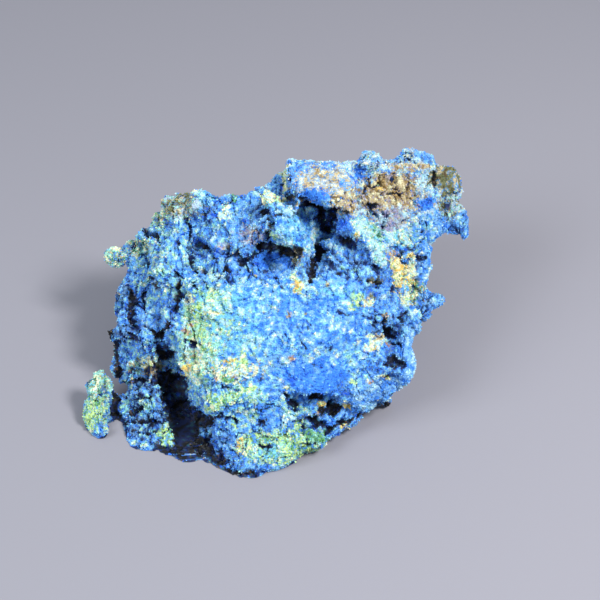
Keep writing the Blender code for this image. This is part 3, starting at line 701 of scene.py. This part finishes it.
def relief_height(points):
    """How far the skin stands out of, or sinks into, the smoothed solid."""
    height = np.zeros(len(points))
    drawn = points - DRAWN_OUT * (points @ RISE)[:, None] * RISE
    for i, place in enumerate(drawn):
        point = Vector(place)
        for size, stands in LUMPS:
            height[i] += stands * (noise.turbulence(point / size, LUMP_STEPS, True) - LUMP_MIDDLE)
        crack = max(1 - abs(noise.noise(point / CRACK_SIZE)) / CRACK_WIDTH, 0)
        sunk = CRACK_DEPTH * crack
        for size, step, tilt, width, depth in CHIPS:
            (near, far, *_), (middle, *_) = noise.voronoi(point / size)
            way = noise.cell_vector(middle * CHIP_MIX) - HALF
            tilted = way.dot(point / size - middle)
            height[i] += step * (noise.cell(middle * CHIP_MIX) - 0.5) + tilt * size * tilted
            sunk = max(sunk, depth * (1 - (far - near) / width))
        height[i] -= sunk
    return height


def pore_depth(points, seen):
    """Depth of the little holes in the iron-stained crust, where it is porous."""
    porous = np.zeros(len(points))
    for area in POROUS_AREAS:
        porous = np.maximum(porous, np.interp(reach(seen, *area), AREA_RIM, (1, 0)))
    depth = np.zeros(len(points))
    for i in np.flatnonzero(porous):
        nearest = noise.voronoi(Vector(points[i]) / PORE_SIZE)[0][0]
        depth[i] = PORE_DEPTH * porous[i] * falloff(nearest / PORE_WIDTH)
    return depth


def line_depth(seen):
    """Depth of the crevices, less the height of the ridges."""
    depth = np.zeros(len(seen))
    for _, _, wide, deep, route in LINES:
        depth += deep * falloff(line_distance(seen, route) / wide / CARVED_RIM)
    return depth


def get_points(mesh):
    """The points of a mesh, in millimetres."""
    found = np.empty(len(mesh.vertices) * 3, np.float32)
    mesh.vertices.foreach_get("co", found)
    return found.reshape(-1, 3).astype(float) / MM


def get_normals(mesh):
    found = np.empty(len(mesh.vertices) * 3, np.float32)
    mesh.vertices.foreach_get("normal", found)
    return found.reshape(-1, 3).astype(float)


def set_points(mesh, points):
    """Moves the points of a mesh to these places, in millimetres."""
    mesh.vertices.foreach_set("co", (points * MM).astype(np.float32).ravel())
    mesh.update()


def add_colour(mesh, colours):
    """Keeps a colour with each vertex, for the material to read."""
    kept = mesh.attributes.new("colour", "FLOAT_COLOR", "POINT")
    values = np.concatenate([colours, np.ones((len(colours), 1))], axis=1)
    kept.data.foreach_set("color", values.astype(np.float32).ravel())


def new_piece(name, mesh, material):
    """Puts a piece in the scene, riding with the rock."""
    piece = bpy.data.objects.new(name, mesh)
    bpy.context.scene.collection.objects.link(piece)
    mesh.materials.clear()
    mesh.materials.append(material)
    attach(piece, "root")
    return piece


def lay_out_cells(mesh):
    """Lays each triangle out in its own half of a square cell, for baking."""
    layer = mesh.loops.layers.uv.new("OFBake")
    cells = math.ceil(math.sqrt(len(mesh.faces) / 2))
    for i, face in enumerate(mesh.faces):
        row, column = divmod(i // 2, cells)
        for loop, (x, y) in zip(face.loops, CELL_HALVES[i % 2]):
            loop[layer].uv = ((column + x) / cells, (row + y) / cells)


def smooth(mesh, rounds):
    """Smooths the skin, but not its flat underside."""
    loose = [vert for vert in mesh.verts if vert.co.z > UNDERSIDE * MM]
    for _ in range(rounds):
        bmesh.ops.smooth_vert(
            mesh, verts=loose, factor=SMOOTH_SHARE, use_axis_x=True, use_axis_y=True, use_axis_z=True
        )
    mesh.normal_update()


def fine_skin():
    """The rock's solid as a finer, smoothed mesh, finest where the camera sees it."""
    mesh = bmesh.new()
    mesh.from_mesh(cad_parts["rock"].data)
    bmesh.ops.remove_doubles(mesh, verts=mesh.verts, dist=MERGED_WITHIN * MM)
    lay_out_cells(mesh)
    bmesh.ops.subdivide_edges(mesh, edges=mesh.edges, cuts=SKIN_CUTS, use_grid_fill=True)
    bmesh.ops.triangulate(mesh, faces=mesh.faces)
    smooth(mesh, SMOOTHING)
    facing = Vector(OUT)
    edges = [
        edge for edge in mesh.edges if any(face.normal.dot(facing) > FINE_FACING for face in edge.link_faces)
    ]
    bmesh.ops.subdivide_edges(mesh, edges=edges, cuts=1, use_grid_fill=True)
    bmesh.ops.triangulate(mesh, faces=mesh.faces)
    smooth(mesh, LAST_SMOOTHING)
    made = bpy.data.meshes.new("rock_crust")
    mesh.to_mesh(made)
    mesh.free()
    return made


def roughen(mesh):
    """Gives the skin its relief, and returns how high each point ends up."""
    points, normals = get_points(mesh), get_normals(mesh)
    seen = as_seen(points)
    height = relief_height(points)
    front = front_share(normals)
    for *area, share in RELIEF_AREAS:
        inside = np.interp(reach(seen, *area), AREA_RIM, (1, 0))
        height *= 1 + (share - 1) * front * inside
    height -= (pore_depth(points, seen) + line_depth(ragged(points))) * front
    height = np.clip(height, -DEEPEST, HIGHEST)
    calm = np.interp(points[:, 2], (UNDERSIDE, CALM_BELOW), (0, 1))
    sideways = np.hypot(normals[:, 0], normals[:, 1])
    height = calm * height + (1 - calm) * sideways * np.clip(height, -RIM_RELIEF, RIM_RELIEF)
    moved = points + height[:, None] * normals
    moved[:, 2] = np.maximum(moved[:, 2], np.minimum(points[:, 2], UNDERSIDE))
    set_points(mesh, moved)
    return height


def mineral_material(name, roughness, sheen, mottles, shades):
    """A mineral: each point's colour, which holds painted shade too, with fine mottles, which are rougher
    where they are paler.
    """
    made = bpy.data.materials.new(name)
    made.use_nodes = True
    nodes, links = made.node_tree.nodes, made.node_tree.links
    shader = nodes["Principled BSDF"]
    shader.inputs["Sheen Weight"].default_value = sheen
    shader.inputs["Specular IOR Level"].default_value = SPECULAR
    colour = nodes.new("ShaderNodeAttribute")
    colour.attribute_name = "colour"
    mottle = nodes.new("ShaderNodeTexNoise")
    mottle.inputs["Scale"].default_value = mottles
    mottle.inputs["Detail"].default_value = MOTTLE_DETAIL
    place = nodes.new("ShaderNodeTexCoord")
    links.new(place.outputs["Object"], mottle.inputs["Vector"])
    shade = map_range(nodes, links, mottle.outputs["Fac"], MOTTLE_LEVELS, shades)
    shaded = nodes.new("ShaderNodeVectorMath")
    shaded.operation = "SCALE"
    links.new(colour.outputs["Color"], shaded.inputs[0])
    links.new(shade, shaded.inputs["Scale"])
    links.new(shaded.outputs["Vector"], shader.inputs["Base Color"])
    spread = (roughness - ROUGHNESS_SPREAD, roughness + ROUGHNESS_SPREAD)
    uneven = map_range(nodes, links, mottle.outputs["Fac"], MOTTLE_LEVELS, spread)
    links.new(uneven, shader.inputs["Roughness"])
    bump = nodes.new("ShaderNodeBump")
    bump.inputs["Strength"].default_value = BUMP_STRENGTH
    bump.inputs["Distance"].default_value = BUMP_HEIGHT
    links.new(mottle.outputs["Fac"], bump.inputs["Height"])
    links.new(bump.outputs["Normal"], shader.inputs["Normal"])
    return made


def map_range(nodes, links, value, old, new):
    """A value moved from one range to another."""
    mapped = nodes.new("ShaderNodeMapRange")
    for name, number in zip(("From Min", "From Max", "To Min", "To Max"), (*old, *new)):
        mapped.inputs[name].default_value = number
    links.new(value, mapped.inputs["Value"])
    return mapped.outputs["Result"]


def make_crust():
    """The rock's skin, which stands for the plain solid. Returns its mesh and its relief."""
    mesh = fine_skin()
    height = roughen(mesh)
    points, normals = get_points(mesh), get_normals(mesh)
    colours = linear_palette()[pick_colours(points, normals, height, 0)]
    # Painted shade: the skin between the grains is darkened, most in its hollows
    depth = np.interp(height, CRUST_HEIGHTS, CRUST_PAINTED_SHADES)
    add_colour(mesh, colours * depth[:, None])
    material = mineral_material(
        "mineral_crust", CRUST_ROUGHNESS, CRUST_SHEEN, CRUST_MOTTLES, CRUST_MOTTLE_SHADES
    )
    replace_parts(new_piece("rock_crust", mesh, material), "rock")
    return mesh, height


def scatter(mesh, height, count, random):
    """Random places on the skin, more on the broad face's side, with its normals and relief there."""
    mesh.calc_loop_triangles()
    corners = np.empty(len(mesh.loop_triangles) * 3, np.int32)
    mesh.loop_triangles.foreach_get("vertices", corners)
    corners = corners.reshape(-1, 3)
    triangles = get_points(mesh)[corners]
    edges = triangles[:, 1:] - triangles[:, :1]
    crossed = np.cross(edges[:, 0], edges[:, 1])
    area = np.linalg.norm(crossed, axis=1)
    growth = area * (triangles[:, :, 2].max(1) > LOWEST_GRAIN)
    growth *= 1 + (FRONT_GROWTH - 1) * front_share(crossed / area[:, None])
    growth *= 1 + (SUNK_GROWTH - 1) * sunk_share(height[corners].mean(1))
    chosen = random.choice(len(growth), count, p=growth / growth.sum())
    share = random.dirichlet((1, 1, 1), count)
    places = np.einsum("ij,ijk->ik", share, triangles[chosen])
    normals = np.einsum("ij,ijk->ik", share, get_normals(mesh)[corners[chosen]])
    return places, unit(normals), (share * height[corners[chosen]]).sum(1)


def unit(vectors):
    """The same directions, with length 1."""
    return vectors / np.linalg.norm(vectors, axis=1)[:, None]


def turned(axes, random):
    """Three directions at right angles for each axis, which is the last of them."""
    side = unit(np.cross(axes, random.normal(size=axes.shape)))
    return np.stack([side, np.cross(axes, side), axes], axis=1)


def grow(name, places, normals, colours, habit, random):
    """One piece of grains, each a small crystal rooted in the skin."""
    half_width, length, lean, spread, roughness, sheen = habit
    count, corners = len(places), len(GRAIN_POINTS)
    axes = unit(normals + lean * random.normal(size=normals.shape))
    size = np.exp(spread * random.normal(size=(count, 1)))
    flat = random.uniform(*GRAIN_FLATNESS, (count, 1))
    scale = np.concatenate([size * half_width, size * half_width * flat, size * length / 2], axis=1)
    shape = GRAIN_POINTS * (1 + GRAIN_UNEVENNESS * random.uniform(-1, 1, (count, corners, 3)))
    roots = places + axes * (scale[:, 2:] * (1 - 2 * BURIED))
    points = roots[:, None] + np.einsum("ijk,ikl->ijl", shape * scale[:, None], turned(axes, random))
    points[:, :, 2] = np.maximum(points[:, :, 2], UNDERSIDE)
    faces = (np.arange(count)[:, None, None] * corners + GRAIN_FACES).reshape(-1, 3)
    mesh = bpy.data.meshes.new(name)
    mesh.from_pydata(points.reshape(-1, 3) * MM, [], faces)
    add_colour(mesh, np.repeat(colours, corners, axis=0))
    cells = math.ceil(math.sqrt(count))
    row, column = np.divmod(np.arange(count), cells)
    middles = np.stack([column, row], axis=1)[:, None] + 0.5
    map_points = (middles + CELL_FILL * GRAIN_MAP) / cells
    layer = mesh.uv_layers.new(name="OFBake")
    layer.uv.foreach_set("vector", map_points.reshape(-1, 2)[faces.ravel()].astype(np.float32).ravel())
    material = mineral_material(name, roughness, sheen, GRAIN_MOTTLES, GRAIN_MOTTLE_SHADES)
    new_piece(name, mesh, material)


def make_grains(skin, relief):
    """Covers the skin with grains, each kind of mineral as pieces of its own."""
    random = np.random.default_rng(SEED)
    places, normals, height = scatter(skin, relief, GRAINS, random)
    picked = pick_colours(places, normals, height, random.normal(size=GRAINS))
    shade = np.exp(SHADE_SPREAD * random.normal(size=(GRAINS, 1)))
    colours = np.clip(linear_palette()[picked] * shade, 0, 1)
    for name, (own, *habit) in KINDS.items():
        grains = np.flatnonzero(np.isin(picked, [COLOURS.index(colour) for colour in own]))
        parts = np.array_split(grains, math.ceil(len(grains) / MOST_IN_PIECE))
        for i, part in enumerate(parts):
            numbered = f"{name}_{i + 1}" if len(parts) > 1 else name
            grow(numbered, places[part], normals[part], colours[part], habit, random)


def aim(thing, place, target):
    """Puts a camera or a light in the scene, looking at a point."""
    placed = bpy.data.objects.new(thing.name, thing)
    bpy.context.scene.collection.objects.link(placed)
    placed.location = place
    placed.rotation_euler = (target - place).to_track_quat("-Z", "Y").to_euler()
    return placed


def add_light(name, offset, size, power, colour, target):
    """A square lamp at this offset from the point that it lights."""
    light = bpy.data.lights.new(name, "AREA")
    light.color = colour
    light.size = size
    light.energy = power
    aim(light, target + Vector(offset), target)


def make_studio():
    """The camera, the lights, the pale surroundings and the floor."""
    target = from_face(LOOKED_AT)
    camera = bpy.data.cameras.new("camera")
    camera.lens = CAMERA_LENS
    camera.clip_start = NEAREST_SEEN
    bpy.context.scene.camera = aim(camera, target + Vector(OUT) * CAMERA_DISTANCE * MM, target)
    add_light("key", KEY_PLACE, KEY_SIZE, KEY_POWER, KEY_COLOUR, target)
    add_light("fill", FILL_PLACE, FILL_SIZE, FILL_POWER, FILL_COLOUR, target)
    bpy.context.scene.view_settings.view_transform = "Standard"
    sky = bpy.data.worlds.new("pale surroundings")
    sky.use_nodes = True
    background = sky.node_tree.nodes["Background"]
    background.inputs["Color"].default_value = (*SKY_COLOUR, 1)
    background.inputs["Strength"].default_value = SKY_STRENGTH
    bpy.context.scene.world = sky
    bpy.ops.mesh.primitive_plane_add(size=FLOOR_SIZE, location=(0, 0, -FLOOR_DROP))
    floor = bpy.context.object
    floor.name = "floor"
    paper = bpy.data.materials.new("pale paper")
    paper.use_nodes = True
    shader = paper.node_tree.nodes["Principled BSDF"]
    shader.inputs["Base Color"].default_value = (*FLOOR_COLOUR, 1)
    shader.inputs["Roughness"].default_value = FLOOR_ROUGHNESS
    floor.data.materials.append(paper)


noise.seed_set(SEED)
make_studio()
make_grains(*make_crust())
